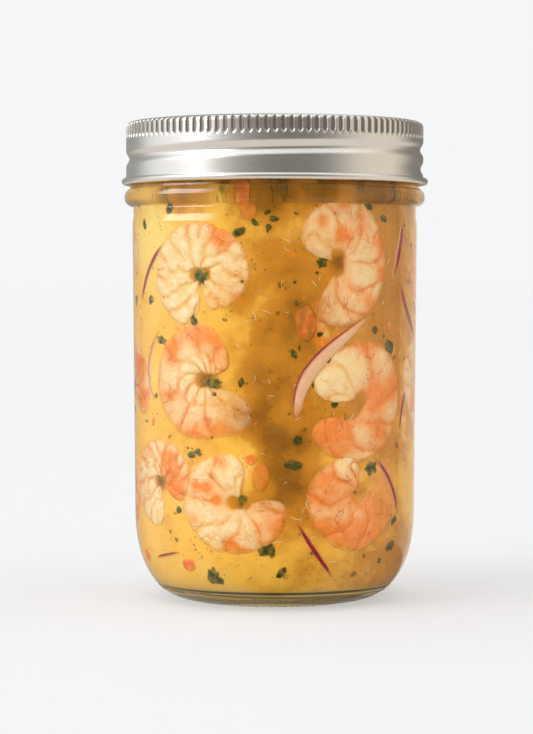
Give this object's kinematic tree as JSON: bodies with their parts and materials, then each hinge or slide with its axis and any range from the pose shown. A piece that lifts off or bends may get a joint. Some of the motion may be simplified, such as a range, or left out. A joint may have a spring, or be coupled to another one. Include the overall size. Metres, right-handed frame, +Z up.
{
  "type": "jar of prawn ceviche",
  "caption": "Shut clear preserving jar with a flat lid and a knurled screw band, filled with curled prawns, red onion and herbs in a thick yellow sauce.",
  "frame": {"origin": "centre of the jar's foot, on the surface it stands on", "axes": "+Z up along the jar's axis, -Y towards the shown front"},
  "size_m": [0.0904, 0.0904, 0.1398],
  "materials": {
    "clear_glass": "clear and smooth",
    "satin_steel": "satin, with fine brush marks",
    "lid_steel": "smooth satin",
    "ceviche_flesh": null
  },
  "bodies": {
    "root": {"jar": "clear_glass", "screw_band": "satin_steel", "flat_lid": "lid_steel", "ceviche": "ceviche_flesh"}
  },
  "joints": []
}
